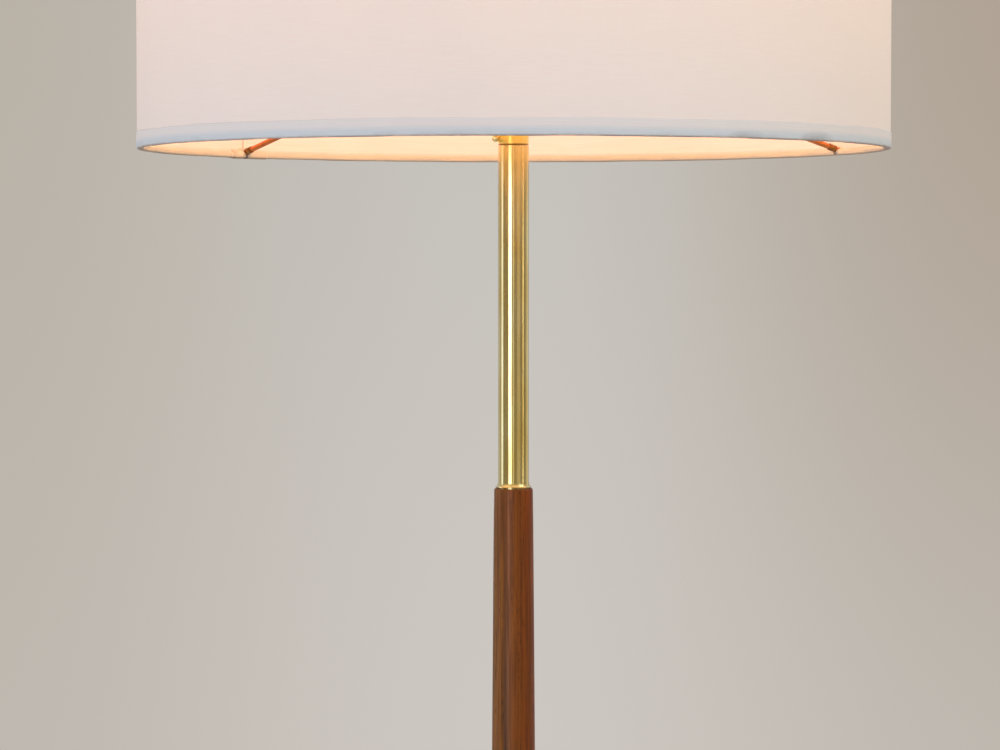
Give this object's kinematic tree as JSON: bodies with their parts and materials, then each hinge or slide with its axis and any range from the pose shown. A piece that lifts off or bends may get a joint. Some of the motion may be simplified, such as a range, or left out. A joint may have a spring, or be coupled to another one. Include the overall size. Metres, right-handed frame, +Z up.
{
  "type": "tripod floor lamp",
  "caption": "Tripod floor lamp with a lit fabric drum shade, telescoping brass riser with a clamp screw, turned wooden column and splayed legs.",
  "frame": {"origin": "on the floor, on the axis of the column", "axes": "+Z up along the column; the first leg points along -Y, which is the side the lamp is seen from"},
  "size_m": [0.4579, 0.458, 1.516],
  "materials": {
    "walnut": "satin oil",
    "lacquered_brass": "brushed, clear lacquer",
    "copper_rod": "bright drawn",
    "braze": "cleaned braze",
    "zinc_plated_steel": "zinc plate",
    "white_wire": "white coat",
    "black_rubber": "matt",
    "nylon": "natural",
    "phenolic": "moulded",
    "fibre_sleeve": "vulcanised fibre",
    "aluminium": "rolled",
    "solder": "bright",
    "black_glass": "glossy",
    "bulb_glass": "frosted inside",
    "shade_cloth": "plain weave",
    "shade_lining": "satin sheet",
    "hem_cloth": "plain weave"
  },
  "bodies": {
    "stand": {"foot_pad_1": "black_rubber", "foot_pad_2": "black_rubber", "foot_pad_3": "black_rubber", "foot_cap_1": "lacquered_brass", "foot_cap_2": "lacquered_brass", "foot_cap_3": "lacquered_brass", "leg_1": "walnut", "leg_2": "walnut", "leg_3": "walnut", "leg_cap_1": "lacquered_brass", "leg_cap_2": "lacquered_brass", "leg_cap_3": "lacquered_brass", "leg_bolts": "zinc_plated_steel", "hub": "lacquered_brass", "hub_washer": "zinc_plated_steel", "hub_nut": "zinc_plated_steel", "hub_cover": "lacquered_brass", "cover_screws": "zinc_plated_steel", "cord_bushing": "black_rubber", "column_sleeve": "lacquered_brass", "column": "walnut", "lamp_pipe": "zinc_plated_steel", "foot_plug": "lacquered_brass", "fixed_tube": "lacquered_brass", "clamp_collar": "lacquered_brass"},
    "clamp": {"clamp_screw": "lacquered_brass"},
    "riser": {"riser_tube": "lacquered_brass", "guide_bush": "nylon", "riser_neck": "lacquered_brass", "socket_nipple": "zinc_plated_steel", "nipple_locknut": "zinc_plated_steel", "socket_cap": "lacquered_brass", "socket_shell": "lacquered_brass", "socket_sleeve": "fibre_sleeve", "socket_body": "phenolic", "screw_shell": "aluminium", "centre_contact": "lacquered_brass", "terminal_screws": "lacquered_brass", "switch_collar": "lacquered_brass", "shade_seat": "lacquered_brass"},
    "switch": {"switch_shaft": "zinc_plated_steel", "switch_knob": "phenolic"},
    "bulb": {"bulb_tip": "solder", "bulb_insulator": "black_glass", "bulb_base": "aluminium", "bulb_glass": "bulb_glass", "bulb_stem": "bulb_glass", "bulb_leads": "solder"},
    "ring_nut": {"shade_nut": "lacquered_brass"},
    "shade": {"spider_ring": "lacquered_brass", "spider_arms": "copper_rod", "arm_welds": "braze", "bottom_ring": "white_wire", "top_ring": "white_wire", "shade_lining": "shade_lining", "shade_cloth": "shade_cloth", "bottom_hem": "hem_cloth", "top_hem": "hem_cloth"}
  },
  "joints": [
    {"name": "shade_lift", "type": "slide", "parent": "stand", "child": "riser", "axis": [0, 0, 1], "range_m": [0, 0.13]},
    {"name": "clamp_turn", "type": "hinge", "parent": "stand", "child": "clamp", "pos_m": [0, 0, 1.2231], "axis": [-0.8572, -0.515, 0], "range_deg": [0, 270]},
    {"name": "shade_turn", "type": "hinge", "parent": "riser", "child": "shade", "pos_m": [0, 0, 1.2843], "axis": [0, 0, 1], "continuous": true},
    {"name": "ring_nut_turn", "type": "hinge", "parent": "riser", "child": "ring_nut", "pos_m": [0, 0, 1.2843], "axis": [0, 0, 1], "continuous": true},
    {"name": "switch_turn", "type": "hinge", "parent": "riser", "child": "switch", "pos_m": [0, 0, 1.268], "axis": [0.788, -0.6157, 0], "continuous": true},
    {"name": "bulb_screw", "type": "hinge", "parent": "riser", "child": "bulb", "pos_m": [0, 0, 1.2843], "axis": [0, 0, 1], "continuous": true}
  ]
}
